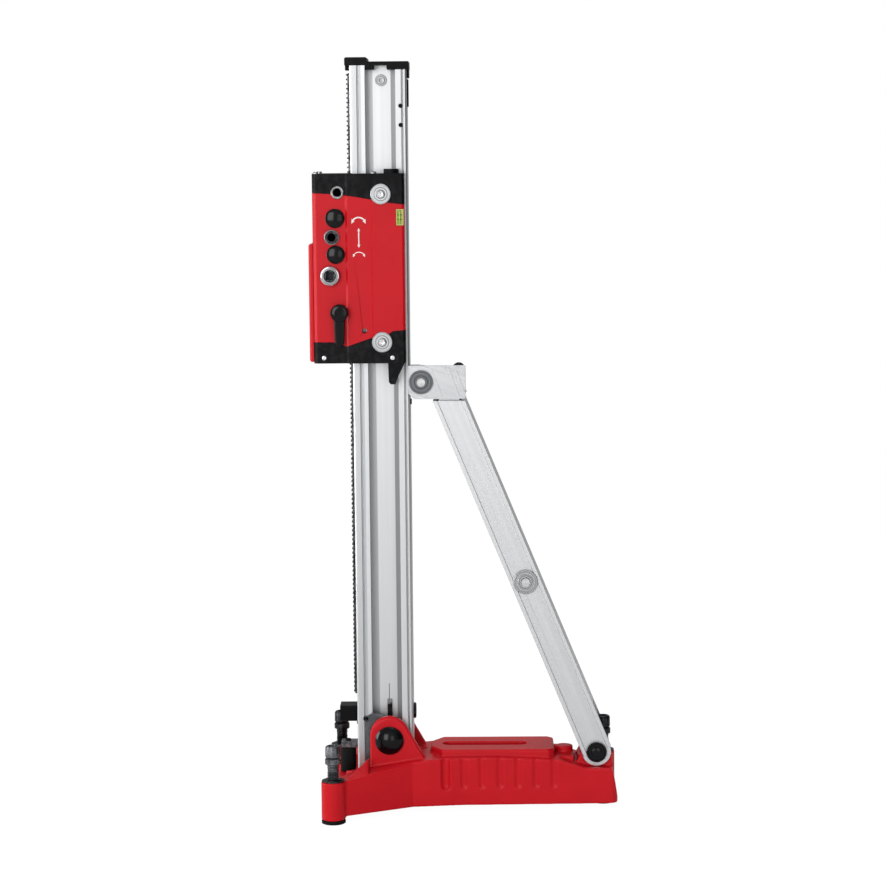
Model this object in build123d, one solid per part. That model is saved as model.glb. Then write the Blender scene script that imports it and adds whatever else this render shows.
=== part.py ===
from build123d import *

import math
import os

# Core drill stand: cast foot, tilting rail with a gear rack, geared carriage and a slanted rear brace.
# X runs from the carriage's tool face (-X) to the brace (+X), Y across the stand, Z up from the floor.
# While drawing, x is counted from the tilt axle; save() moves it to the middle of the stand's length.

# Driving dimensions, in millimetres -----------------------------------------------------------------
MID_X = 107.0                 # middle of the stand's length, behind the tilt axle
PIVOT_Z = 100.0               # tilt axle above the floor
RAIL_FRONT, RAIL_BACK = -45.0, 32.5
RAIL_HALF = 31.5              # half the rail's width
RAIL_BOTTOM, RAIL_TOP = 56.0, 1029.0
CHANNEL_FRONT, CHANNEL_BACK = -24.0, 17.5
CHANNEL_FLOOR = 12.0          # from the middle plane to the channel's floor
ROLLER_X = (CHANNEL_FRONT + CHANNEL_BACK) / 2
ROLLER_R = 20.45
ROLLER_HEIGHTS = (654.0, 855.0)
RACK_MODULE = 2.0
RACK_PITCH_X = -48.5          # pitch line of the rack
PINION_TEETH = 22
PINION_Z = 797.0
PINION_X = RACK_PITCH_X - RACK_MODULE * PINION_TEETH / 2
GEAR_MODULE = 1.0
FINAL_TEETH, SMALL_TEETH, LARGE_TEETH, INPUT_TEETH = 33, 15, 35, 25
LAY_X, INPUT_X = -65.5, -73.5
CARRIAGE_FRONT, CARRIAGE_BACK = -97.0, 28.5
CARRIAGE_BOTTOM, CARRIAGE_TOP = 625.0, 883.0
GEARBOX_HALF, SIDE_HALF = 50.0, 54.0
PLATE_FRONT = -103.0
EAR_IN, EAR_OUT = 38.0, 50.0
STRUT_HALF = 38.0             # half the brace's width across the stand
CHEEK_IN = 32.3
STRUT_TOP_X, STRUT_TOP_Z = 48.5, 597.5
STRUT_LEAN = 22.35            # degrees from upright
STRUT_CENTRE = 1.3            # the profile's middle line, behind its foot pivot
STRUT_BOLT = 259.0            # from the foot pivot to the clamp bolt
STRUT_FOOT_X, STRUT_FOOT_Z = 287.5, 79.5
POST_R = 16.5
FRONT_POST = (-75.0, 114.0)
REAR_POST_X = 297.5
FRONT_POST_TOP, REAR_POST_TOP = 58.0, 74.0
PAD_TOP = 84.5
BRACKET_NEAR_TOP, BRACKET_FAR_TOP = 620.0, 614.0
GROOVE_R = 7.0                # round bottom of the flank grooves
SPINDLE_R = 8.0
LEVER_Z = 694.5               # axis of the lock lever
FIT = 0.05                    # radial clearance of a turning fit
GAP = 0.3                     # clearance between pieces that only pass each other

LAY_Z = PINION_Z - math.sqrt((GEAR_MODULE * (FINAL_TEETH + SMALL_TEETH) / 2) ** 2 - (LAY_X - PINION_X) ** 2)
INPUT_Z = LAY_Z - math.sqrt((GEAR_MODULE * (LARGE_TEETH + INPUT_TEETH) / 2) ** 2 - (INPUT_X - LAY_X) ** 2)

os.makedirs("parts", exist_ok=True)


# Drawing helpers --------------------------------------------------------------------------------------
def save(name, shape):
    """Write one node, moved so that x = 0 is the middle of the stand."""
    export_step(Pos(-MID_X, 0, 0) * shape, f"parts/{name}.step")


def block(x0, x1, y0, y1, z0, z1):
    return Pos((x0 + x1) / 2, (y0 + y1) / 2, (z0 + z1) / 2) * Box(x1 - x0, y1 - y0, z1 - z0)


def rod_z(x, y, r, z0, z1):
    return Pos(x, y, (z0 + z1) / 2) * Cylinder(r, z1 - z0)


def rod_y(x, z, r, y0, y1):
    return Pos(x, (y0 + y1) / 2, z) * Rot(90, 0, 0) * Cylinder(r, y1 - y0)


def rod_x(y, z, r, x0, x1):
    return Pos((x0 + x1) / 2, y, z) * Rot(0, 90, 0) * Cylinder(r, x1 - x0)


def side_prism(points, y0, y1):
    """A polygon drawn in x and z, from y0 to y1."""
    face = Plane.XZ * make_face(Polyline(*points, close=True))
    return Pos(0, y1, 0) * extrude(face, y1 - y0)


def plan_prism(points, z0, z1):
    """A polygon drawn in x and y, from z0 to z1."""
    face = make_face(Polyline(*points, close=True))
    return Pos(0, 0, z0) * extrude(face, z1 - z0)


def twin(shape):
    """The shape and its mirror image on the stand's other side."""
    return Part() + shape + mirror(shape, about=Plane.XZ)


def group(shapes):
    return sum(shapes, Part())


def mirrored_outline(half):
    """Close an outline from its half with y of 0 or more, drawn from front to back."""
    return half + [(x, -y) for x, y in reversed(half) if y > 0]


def hex_head(x, y, across, z0, z1):
    face = RegularPolygon(across / math.sqrt(3), 6)
    return Pos(x, y, z0) * extrude(face, z1 - z0)


# Gears --------------------------------------------------------------------------------------------------
def involute(angle):
    return math.tan(angle) - angle


def gear_outline(module, teeth, phase):
    """Points of a 20 degree involute gear with a tooth centred on phase (degrees)."""
    pressure = math.radians(20)
    pitch_r = module * teeth / 2
    base_r = pitch_r * math.cos(pressure)
    tip_r = pitch_r + 0.9 * module
    root_r = pitch_r - 1.2 * module
    half_tooth = math.pi / (2 * teeth) - 0.05 * module / pitch_r
    start_r = max(base_r, root_r)
    steps = 4
    flank = []
    for step in range(steps + 1):
        radius = start_r + (tip_r - start_r) * step / steps
        roll = math.acos(min(1.0, base_r / radius))
        flank.append((radius, half_tooth + involute(pressure) - involute(roll)))
    if root_r < start_r:
        flank.insert(0, (root_r, flank[0][1]))
    points = []
    for tooth in range(teeth):
        centre = math.radians(phase) + 2 * math.pi * tooth / teeth
        around = [(radius, centre - angle) for radius, angle in flank]
        around += [(radius, centre + angle) for radius, angle in reversed(flank)]
        points += [(radius * math.cos(angle), radius * math.sin(angle)) for radius, angle in around]
    return points


def gear(x, z, module, teeth, phase, y0, y1, bore):
    outline = [(x + u, z + v) for u, v in gear_outline(module, teeth, phase)]
    return side_prism(outline, y0, y1) - rod_y(x, z, bore, y0 - 1, y1 + 1)


def direction(x0, z0, x1, z1):
    return math.degrees(math.atan2(z1 - z0, x1 - x0))


# Base -----------------------------------------------------------------------------------------------------
def ear():
    """Upright ear with a round top and a sloping back edge."""
    arch_z, arch_r = PIVOT_Z + 6, 27.0
    foot = (50.0, 73.0)
    reach = math.hypot(foot[0], foot[1] - arch_z)
    turn = math.atan2(foot[1] - arch_z, foot[0]) + math.acos(arch_r / reach)
    shoulder = (arch_r * math.cos(turn), arch_z + arch_r * math.sin(turn))
    outline = [(-arch_r, 44), (-arch_r, arch_z), shoulder, foot, (50, 44)]
    plate = side_prism(outline, EAR_IN, EAR_OUT) + rod_y(0, arch_z, arch_r, EAR_IN, EAR_OUT)
    rim = plate.faces().sort_by(Axis.Y)[-1].outer_wire().edges()
    return chamfer(rim, 2.5)


def base_shell():
    """Outer body of the foot: two arms, a long tail and the raised pad."""
    arm_half = [(-74, 0), (-74, 34), (-52, 58), (-78, 100), (-90, 111), (-88, 124), (-75, 130),
                (-62, 117), (32, 65), (98, 56), (290, 50), (310, 48), (316, 42), (317, 30), (317, 0)]
    body = plan_prism(mirrored_outline(arm_half), 9, 100)
    side = [(-100, 5), (-100, 57), (-62, 57), (0, 66), (32, 71.5), (60, 75), (150, 75.5), (236, 71.5), (260, 63),
            (274, 59), (309, 58), (313, 40), (317, 14), (317, 5)]
    body = body & side_prism(side, -140, 140)
    body += rod_z(FRONT_POST[0], FRONT_POST[1], POST_R, 5.3, 58)
    body += rod_z(FRONT_POST[0], -FRONT_POST[1], POST_R, 5.3, 58)
    pad_half = [(57, 0), (57, 18), (73, 43.5), (221, 43.5), (229, 35.5), (229, 0)]
    pad = plan_prism(mirrored_outline(pad_half), 60, PAD_TOP)
    pad = chamfer(pad.faces().sort_by(Axis.Z)[-1].outer_wire().edges(), 2)
    return body + pad


def rear_lug():
    """One of the two lugs that the fork of the brace straddles."""
    x, z = STRUT_FOOT_X, STRUT_FOOT_Z
    outline = [(254, 56), (262, 68), (x - 13, z + 11), (x + 13, z + 11), (309, 74), (310, 56)]
    return side_prism(outline, 20, 31.5) + rod_y(x, z, 17, 20, 31.5)


def arm_rib():
    """Sloping rib that rises along an arm from its post to the ear."""
    rib = plan_prism([(-56, 104), (-28, 50), (-28, 98), (-50, 110)], 50, 90)
    slope = Plane(origin=(-27, 50, 76.7), z_dir=(0.042, 0.325, 1))
    return split(rib, bisect_by=slope, keep=Keep.BOTTOM)


def base_casting():
    body = base_shell()
    well = block(-60, 38, -EAR_IN, EAR_IN, 43, 120)
    front_step = block(-80, -48, -48, 48, 45.7, 120)
    body = body - well - front_step
    body += twin(ear())
    body += twin(rear_lug())
    body += twin(arm_rib())
    body += block(262, 310, -21, 21, 56, 72) + rod_z(REAR_POST_X, 0, POST_R, 5.3, REAR_POST_TOP)
    body += rod_z(243, 0, 12.5, 60, 81.5) + block(232, 256, -33, 33, 60, 73)
    # hollow underside, left open below
    tail_half = [(46, 0), (46, 46), (98, 46), (264, 41), (264, 0)]
    cavity = plan_prism(mirrored_outline(tail_half), 0, 62)
    rails = [block(x, x + 6, -50, 50, 40, 62) for x in (66, 192)]
    slot_boss = plan_prism([(72, -20), (192, -20), (192, 20), (72, 20)], 44, 62)
    body = body - (cavity - group(rails) - slot_boss)
    body -= block(-40, 34, -30, 30, 0, 32)
    for side in (-1, 1):
        body -= plan_prism([(-44, side * 62), (-62, side * 94), (-54, side * 103), (26, side * 57),
                            (26, side * 44), (-30, side * 44)], 0, 48)
    # anchor slot through the pad
    slot = Pos(132, 0, 10) * extrude(SlotOverall(118, 22), 80)
    body -= slot
    body -= rod_z(46, 20, 4, 40, 90)
    # shallow upright grooves along both flanks
    for index in range(7):
        x = 78 + 25 * index
        flank = 53.6 - 0.03 * (x - 98)
        groove = rod_z(x, flank + GROOVE_R, GROOVE_R, 37, 90) + Pos(x, flank + GROOVE_R, 37) * Sphere(GROOVE_R)
        body -= twin(groove)
    bores = [rod_y(0, PIVOT_Z, 10 + FIT, -60, 60), rod_y(STRUT_FOOT_X, STRUT_FOOT_Z, 6 + FIT, -60, 60)]
    for x, y, top in ((FRONT_POST[0], FRONT_POST[1], 60), (FRONT_POST[0], -FRONT_POST[1], 60), (REAR_POST_X, 0, REAR_POST_TOP + 2)):
        bores.append(rod_z(x, y, SPINDLE_R + FIT, 0, top))
    return body - group(bores)


def lock_ring(x, y, top):
    ring = rod_z(x, y, 15.9, top + 0.1, top + 2) + rod_z(x, y, 12.5, top + 2, top + 3.4)
    return ring - rod_z(x, y, SPINDLE_R + FIT, top - 1, top + 12)


def levelling_spindle(x, y, top):
    """Threaded screw with a collar and a hexagon head; top is the head of its post."""
    screw = rod_z(x, y, SPINDLE_R, 2.3, top + 14) + rod_z(x, y, 7.5, top + 14, top + 25)
    collar = rod_z(x, y, 11.0, top + 24, top + 33)
    head = chamfer(rod_z(x, y, 10.2, top + 33, top + 49.5).edges().filter_by(GeomType.CIRCLE), 1)
    return screw + collar + head - hex_head(x, y, 12, top + 41, top + 50)


def foot_pad(x, y):
    return rod_z(x, y, POST_R, 0, 5) - rod_z(x, y, SPINDLE_R + FIT, 2, 6)


def dome(x, z, r, y0, height):
    """Domed cover on the side face at y0, bulging outwards in y."""
    ball_r = (r * r + height * height) / (2 * height)
    ball = Pos(x, y0 + height - ball_r, z) * Sphere(ball_r)
    return ball & rod_y(x, z, r, y0, y0 + height + 1)


def build_base():
    save("base_casting", base_casting())
    save("pivot_bolt", rod_y(0, PIVOT_Z, 10, -EAR_OUT - 1, EAR_OUT + 1))
    cover = rod_y(0, PIVOT_Z, 19.6, EAR_OUT + 0.1, EAR_OUT + 3) + dome(0, PIVOT_Z, 19.6, EAR_OUT + 3, 9)
    save("pivot_caps", twin(cover - rod_y(0, PIVOT_Z, 10.1, EAR_OUT - 1, EAR_OUT + 1.1)))
    posts = {
        "front_right": (FRONT_POST[0], -FRONT_POST[1], FRONT_POST_TOP),
        "front_left": (FRONT_POST[0], FRONT_POST[1], FRONT_POST_TOP),
        "rear": (REAR_POST_X, 0, REAR_POST_TOP),
    }
    save("lock_rings", group(lock_ring(*place) for place in posts.values()))
    for name, (x, y, top) in posts.items():
        save(f"levelling_spindle_{name}", levelling_spindle(x, y, top))
        save(f"foot_pad_{name}", foot_pad(x, y))
    pin = rod_y(STRUT_FOOT_X, STRUT_FOOT_Z, 6, 22, STRUT_HALF + 1)
    save("foot_pins", twin(pin))
    disc = rod_y(STRUT_FOOT_X, STRUT_FOOT_Z, 14.2, STRUT_HALF + 0.3, STRUT_HALF + 4)
    disc += dome(STRUT_FOOT_X, STRUT_FOOT_Z, 14.2, STRUT_HALF + 4, 2.5)
    save("foot_caps", twin(disc - rod_y(STRUT_FOOT_X, STRUT_FOOT_Z, 6.1, STRUT_HALF, STRUT_HALF + 1.1)))


# Column -----------------------------------------------------------------------------------------------------
def rail():
    """Extruded section with a channel on each side, a rack groove in front and a slot down the back."""
    outer = Rectangle(RAIL_BACK - RAIL_FRONT, 2 * RAIL_HALF)
    section = Pos((RAIL_BACK + RAIL_FRONT) / 2, 0) * outer
    section = chamfer(section.vertices(), 2)
    channel_w = CHANNEL_BACK - CHANNEL_FRONT
    channel = Rectangle(channel_w, RAIL_HALF - CHANNEL_FLOOR, align=(Align.CENTER, Align.MIN))
    core = Pos(ROLLER_X, 0) * Rectangle(channel_w - 8, 2 * CHANNEL_FLOOR - 8)
    nose = Pos(-30, 0) * Rectangle(7, 44)
    rack_groove = Pos(RAIL_FRONT, 0) * Rectangle(12, 24.4)
    slot_mouth = Pos(RAIL_BACK, 0) * Rectangle(12, 12)
    slot_room = Pos(RAIL_BACK - 8.5, 0) * Rectangle(7, 24)
    section = section - core - nose - rack_groove - slot_mouth - slot_room
    for side in (1, -1):
        section -= Pos(ROLLER_X, side * (RAIL_HALF + CHANNEL_FLOOR) / 2) * Rectangle(channel_w, RAIL_HALF - CHANNEL_FLOOR)
        for x in (-34.0, 26.5):
            section -= Pos(x, side * RAIL_HALF) * Rot(0, 0, 45) * Rectangle(2, 2)
    body = Pos(0, 0, RAIL_BOTTOM) * extrude(section, RAIL_TOP - RAIL_BOTTOM)
    holes = [rod_y(0, PIVOT_Z, 10 + FIT, -RAIL_HALF, RAIL_HALF), rod_y(-33, 127, 4, -40, 40)]
    holes += [rod_y(24.3, z, 3, -40, 40) for z in (948, 974)]
    return body - group(holes)


def gear_rack():
    """Straight rack whose teeth are centred on the pinion's height at rest."""
    low, high = 160.0, 1023.0
    pitch = math.pi * RACK_MODULE
    tip_x = RACK_PITCH_X - 0.9 * RACK_MODULE
    root_x = RACK_PITCH_X + 1.25 * RACK_MODULE
    slope = math.tan(math.radians(20))
    half = pitch / 4 - 0.1
    at_tip = half - 0.9 * RACK_MODULE * slope
    at_root = half + 1.25 * RACK_MODULE * slope
    first = math.ceil((low + at_root - PINION_Z) / pitch)
    last = math.floor((high - at_root - PINION_Z) / pitch)
    points = [(-39.2, low), (root_x, low)]
    for tooth in range(first, last + 1):
        z = PINION_Z + tooth * pitch
        points += [(root_x, z - at_root), (tip_x, z - at_tip), (tip_x, z + at_tip), (root_x, z + at_root)]
    points += [(root_x, high), (-39.2, high)]
    return side_prism(points, -12, 12)


def top_cap():
    """End cap: a raised front part over the rack and a lower deck over the rest."""
    deck = block(RAIL_FRONT - 1, RAIL_BACK + 3, -RAIL_HALF - 1.5, RAIL_HALF + 1.5, RAIL_TOP + 0.1, 1034)
    front = block(-51.5, -21, -RAIL_HALF - 1.5, RAIL_HALF + 1.5, RAIL_TOP + 0.1, 1040)
    body = deck + front
    body = chamfer(body.faces().sort_by(Axis.Z)[-1].outer_wire().edges(), 1.5)
    skirt = block(-51.5, -46, -14, 14, RAIL_TOP - 6, RAIL_TOP + 2)
    back_skirt = block(RAIL_BACK + 0.2, RAIL_BACK + 3, -20, 20, 1012, RAIL_TOP + 2)
    lips = block(CHANNEL_FRONT + 0.4, -11, 16, RAIL_HALF + 1, RAIL_TOP - 6, RAIL_TOP + 2)
    lips += block(6, CHANNEL_BACK - 0.4, 16, RAIL_HALF + 1, RAIL_TOP - 6, RAIL_TOP + 2)
    lips += block(CHANNEL_FRONT + 0.4, -11, RAIL_HALF + 0.1, RAIL_HALF + 1.5, RAIL_TOP - 6, RAIL_TOP + 2)
    lips += block(6, RAIL_BACK + 3, RAIL_HALF + 0.1, RAIL_HALF + 1.5, RAIL_TOP - 6, RAIL_TOP + 2)
    return body + skirt + back_skirt + twin(lips)


def hinge_plate():
    outline = [(-34, 60), (-34, 126), (-31, 132), (-24, 136), (-8, 131), (12, 112), (12, 60)]
    plate = side_prism(outline, RAIL_HALF + 0.1, EAR_IN - GAP)
    return plate - rod_y(0, PIVOT_Z, 10 + FIT, 20, 60) - rod_y(-33, 127, 4, 20, 60)


def build_column():
    save("rail", rail())
    save("gear_rack", gear_rack())
    save("top_cap", top_cap())
    bolt = rod_y(-2.5, 1009, 5, CHANNEL_FLOOR + 0.1, CHANNEL_FLOOR + 5)
    flange = rod_y(-2.5, 1009, 8, CHANNEL_FLOOR + 0.1, CHANNEL_FLOOR + 2)
    save("cap_bolts", twin(bolt + flange - rod_y(-2.5, 1009, 2.5, CHANNEL_FLOOR + 2.5, CHANNEL_FLOOR + 6)))
    save("hinge_plates", twin(hinge_plate()))
    stop = block(-70, RAIL_FRONT - 1.5, -16, 16, 120, 142)
    stop = fillet(stop.edges().filter_by(Axis.X), 2)
    stop += block(RAIL_FRONT - 1.5, RAIL_FRONT - 0.1, -19, 19, 117, 146)
    save("lower_stop", stop)
    head = rod_x(0, 132, 11, RAIL_BACK + 0.1, RAIL_BACK + 4)
    save("stop_bolt", head)
    bracket = block(-69, RAIL_FRONT - 0.1, -9, 9, 81, 90)
    save("stop_bracket", bracket - rod_z(-60, 0, 4, 70, 90))
    buffer = rod_z(-60, 0, 11, 46, 80.9)
    buffer = chamfer(buffer.edges().filter_by(GeomType.CIRCLE), 1)
    save("upright_buffer", buffer + rod_z(-60, 0, 3.9, 80, 92))
    pointer = block(-3.5, 3, CHANNEL_FLOOR + 0.1, CHANNEL_FLOOR + 4, 112, 151)
    save("tilt_pointer", twin(pointer))
    save("slot_strip", block(RAIL_BACK + 0.1, RAIL_BACK + 2, -9, 9, 973, 1010))
    lug = block(23.5, RAIL_BACK + 2, -5.8, 5.8, 564, 571) + block(21, 26.8, -11, 11, 564, 571)
    save("brace_stop", lug)


# Brace ------------------------------------------------------------------------------------------------------
def strut_place():
    """Local frame of the strut: origin at its foot pivot, +Z along it towards the bracket."""
    return Pos(STRUT_FOOT_X, 0, STRUT_FOOT_Z) * Rot(0, -STRUT_LEAN, 0)


def strut_profile():
    """Hollow profile with raised lips, cut to a fork with a round end around the foot pivot."""
    width, length = 41.0, 560.0
    centre = STRUT_CENTRE
    body = Pos(centre, 0, length / 2) * Box(width, 2 * STRUT_HALF, length)
    body -= Pos(centre, 0, length / 2 + 62) * Box(width - 10, 2 * CHEEK_IN - 4, length)
    body -= Pos(centre, 0, -20) * Box(width + 2, 2 * CHEEK_IN, 164)
    for side in (1, -1):
        body -= Pos(centre, side * STRUT_HALF, length / 2) * Box(width - 11, 3, length + 2)
    end = Pos(0, 0, 0) * Rot(90, 0, 0) * Cylinder(20.2, 2 * STRUT_HALF - 3)
    end -= Box(60, 2 * CHEEK_IN, 60)
    body += end
    body -= Pos(0, 0, -30) * Box(80, 100, 20)
    body -= Rot(90, 0, 0) * Cylinder(6 + FIT, 200)
    body -= Pos(centre, 0, STRUT_BOLT) * Rot(90, 0, 0) * Cylinder(6.2, 200)
    top = strut_place().inverse() * block(-100, 200, -60, 60, 571.5, 720)
    return strut_place() * (body - top)


def bracket_plate(top):
    """One cheek plate of the bracket, with the round boss and the slanted rib that grips the stem."""
    outline = [(39, 574), (31, 582), (31, top), (109, top), (109, 574)]
    plate = side_prism(outline, CHEEK_IN, STRUT_HALF - 1.5)
    plate += rod_y(STRUT_TOP_X, STRUT_TOP_Z, 17.6, CHEEK_IN, STRUT_HALF)
    rib_top = top - 3
    for x0, x1 in ((59, 63), (83, 87), (92, 96)):
        rib = [(x0 + 15, 577), (x0, rib_top), (x1, rib_top), (x1 + 15, 577)]
        plate += side_prism(rib, STRUT_HALF - 1.6, STRUT_HALF)
    return plate - rod_y(STRUT_TOP_X, STRUT_TOP_Z, 6, 20, 60)


def build_brace():
    save("strut_profile", strut_profile())
    save("bracket_plates", bracket_plate(BRACKET_FAR_TOP) + mirror(bracket_plate(BRACKET_NEAR_TOP), Plane.XZ))
    stem = strut_place() * (Pos(STRUT_CENTRE, 0, 530) * Box(26, 2 * CHEEK_IN - 6, 170))
    save("strut_stem", stem & block(66, 200, -60, 60, 450, BRACKET_FAR_TOP))
    plug = Pos(100, 0, 613) * (Sphere(8.5) & Pos(0, 0, 5) * Box(20, 20, 10))
    save("strut_plug", plug + block(93, 107, -CHEEK_IN + 0.1, CHEEK_IN - 0.1, 608, 613))
    mid = strut_place() * Pos(STRUT_CENTRE, 0, STRUT_BOLT)
    top = Pos(STRUT_TOP_X, 0, STRUT_TOP_Z)
    bolts, washers = [], []
    for place, seat, radius in ((mid, STRUT_HALF, 16.8), (top, STRUT_HALF, 16.5)):
        for side in (1, -1):
            turn = Rot(-90 * side, 0, 0)
            low = (Align.CENTER, Align.CENTER, Align.MIN)
            shank = Cylinder(5.9, seat + 7, align=low) + Pos(0, 0, seat + 3) * Cylinder(7.4, 4, align=low)
            socket = Pos(0, 0, seat + 4) * extrude(RegularPolygon(4.4, 6), 5)
            bolts.append(place * turn * (shank - socket))
            ring = Pos(0, 0, seat + 0.1) * Cylinder(radius, 2.8, align=low)
            washers.append(place * turn * (ring - Cylinder(6.2, 200)))
    save("brace_bolts", group(bolts))
    save("brace_washers", group(washers))
    save("brace_slider", brace_slider())


def brace_slider():
    """Block that runs in the back slot; its hook is open to the rear, where the bracket's bolt sits."""
    block_part = block(RAIL_BACK + 0.4, 46, -24, 24, 578, 617) + block(23, RAIL_BACK + 1, -5.6, 5.6, 578, 617)
    block_part += block(20.8, 26.6, -11.4, 11.4, 578, 617)
    horn = rod_y(STRUT_TOP_X, STRUT_TOP_Z, 14, -24, 24)
    body = block_part + horn
    slot = Pos(STRUT_TOP_X, 0, STRUT_TOP_Z) * Rot(0, -20, 0) * (Pos(20, 0, 0) * Box(40, 60, 15.2))
    return body - slot - rod_y(STRUT_TOP_X, STRUT_TOP_Z, 6.3, -30, 30)


# Carriage -----------------------------------------------------------------------------------------------------
def carriage_blank():
    """The carriage's outer form: gearbox in front and two side walls along the rail."""
    front = CARRIAGE_FRONT
    half = [(front, 0), (front, GEARBOX_HALF - 5), (front + 5, GEARBOX_HALF), (-52, GEARBOX_HALF),
            (-49, SIDE_HALF - 1), (-17, SIDE_HALF - 1), (-15, SIDE_HALF), (CARRIAGE_BACK - 3, SIDE_HALF),
            (CARRIAGE_BACK, SIDE_HALF - 3), (CARRIAGE_BACK, 33), (-52.5, 33), (-52.5, 0)]
    return plan_prism(mirrored_outline(half), CARRIAGE_BOTTOM, CARRIAGE_TOP)


UPPER_EDGE = [(-99, 857), (-62, 855), (-37, 851.5), (9, 843), (31, 840.5)]
LOWER_EDGE = [(-99, 654), (-71, 654), (-52, 648), (-20, 659), (6, 665), (11.5, 669), (31, 670.5)]


def edge_prism(edge, far_z, shift):
    points = [(x, z + shift) for x, z in edge] + [(edge[-1][0], far_z), (edge[0][0], far_z)]
    return side_prism(points, -80, 80)


def shaft_room():
    """Room for the gear train inside the gearbox, and for the guide rollers' axles."""
    room = block(-92, -52, -46, 46, 715, 838)
    axles = [rod_y(ROLLER_X, z, 6 + 0.02, -80, 80) for z in ROLLER_HEIGHTS]
    shafts = [rod_y(PINION_X, PINION_Z, 9.0, -80, 80), rod_y(LAY_X, LAY_Z, 6.0, -80, 80),
              rod_y(INPUT_X, INPUT_Z, 11.0, -80, 0), rod_y(-62.5, 857.5, 9.0, -80, 80),
              rod_y(-66, 822.7, 6.0, -80, 80), rod_y(-61, LEVER_Z, 6 + FIT, -80, 80), rod_y(-27.5, 669.5, 3.5, -80, 80)]
    pockets = [block(17.2, 40, -60, -49, 812.2, 834.8), block(-94.8, -90, -12.5, 12.5, 771, 823),
               block(-53, -45.8, -45, -35, LAY_Z - 20, LAY_Z + 20),
               block(-58.3, -50, -9.3, 9.3, LEVER_Z - 8.3, LEVER_Z + 8.3)]
    return group([room] + axles + shafts + pockets)


def housing():
    body = carriage_blank() - edge_prism(UPPER_EDGE, 900, 0) - edge_prism(LOWER_EDGE, 600, 0)
    return body - shaft_room()


def upper_cap():
    body = carriage_blank() & edge_prism(UPPER_EDGE, 900, 0.1)
    body -= block(-92, -52, -44, 44, 830, 877)
    body += twin(rod_z(11, 43.5, 10.3, 877, 889))
    return body - shaft_room()


def lower_cap():
    body = carriage_blank() & edge_prism(LOWER_EDGE, 600, -0.1)
    body -= block(-92, -52, -44, 44, 610, 649)
    hook = side_prism([(4, 630), (5, 599), (7.5, 596), (14, 596), (17.5, 606), (27, 625), (27, 630)], 34, 52)
    return body + twin(hook) - shaft_room()


def front_plate():
    """Flat plate in front of the gearbox that the drill motor's bracket bolts to."""
    plate = block(PLATE_FRONT, CARRIAGE_FRONT - 0.1, -46, 46, 627, 788)
    plate = chamfer(plate.edges().filter_by(Axis.Z).group_by(Axis.X)[0], 2.5)
    plate = chamfer(plate.faces().sort_by(Axis.X)[0].outer_wire().edges().filter_by(Axis.Y), 2)
    plate -= block(PLATE_FRONT - 1, PLATE_FRONT + 2, -12, 12, 610, 800)
    for y in (-32, 32):
        for z in (658, 758):
            plate -= rod_x(y, z, 4.25, PLATE_FRONT - 1, CARRIAGE_FRONT + 1)
    return plate


def feed_pinion():
    phase = 180 / PINION_TEETH
    return gear(PINION_X, PINION_Z, RACK_MODULE, PINION_TEETH, phase, -11.5, 11.5, 9.0)


def pinion_shaft():
    """Feed shaft: waisted where the large layshaft gear passes, with a socket in its near end."""
    x, z = PINION_X, PINION_Z
    shaft = rod_y(x, z, 8.98, -34, 34) + rod_y(x, z, 5.0, -46, -33) + rod_y(x, z, 7.5, 33, 50)
    shaft += rod_y(x, z, 7.5, -57, -45.5)
    return shaft - rod_y(x, z, 5.2, -58, -47.5)


def input_shaft():
    x, z = INPUT_X, INPUT_Z
    shaft = rod_y(x, z, 7.5, -60, -30) + rod_y(x, z, 13.0, -60, -56.5)
    square = Plane.XZ * Pos(x, z) * Rectangle(10.4, 10.4)
    socket = Pos(0, -50, 0) * extrude(square, 12)
    return shaft - socket


def shaft_bushes():
    bush = rod_y(PINION_X, PINION_Z, 8.9, 46.5, GEARBOX_HALF) - rod_y(PINION_X, PINION_Z, 7.5 + FIT, 40, 60)
    near = rod_y(PINION_X, PINION_Z, 8.9, -GEARBOX_HALF - 1.5, -46.5) + \
        rod_y(PINION_X, PINION_Z, 10.4, -GEARBOX_HALF - 2, -GEARBOX_HALF - 0.1)
    near -= rod_y(PINION_X, PINION_Z, 7.5 + FIT, -60, -40)
    drive = rod_y(INPUT_X, INPUT_Z, 10.9, -GEARBOX_HALF - 1.5, -46.5) - rod_y(INPUT_X, INPUT_Z, 7.5 + FIT, -60, -40)
    drive += rod_y(INPUT_X, INPUT_Z, 13.2, -GEARBOX_HALF - 5, -GEARBOX_HALF - 0.1) - \
        rod_y(INPUT_X, INPUT_Z, 7.5 + FIT, -60, -40)
    return group([bush, near, drive])


def roller(side, z):
    """Crowned guide roller that runs in the rail's side channel."""
    disc = rod_y(ROLLER_X, z, ROLLER_R, 15.3, 29.3)
    disc = chamfer(disc.edges().filter_by(GeomType.CIRCLE), 1.5)
    disc -= rod_y(ROLLER_X, z, 6 + FIT, 10, 40)
    return disc if side > 0 else mirror(disc, about=Plane.XZ)


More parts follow.
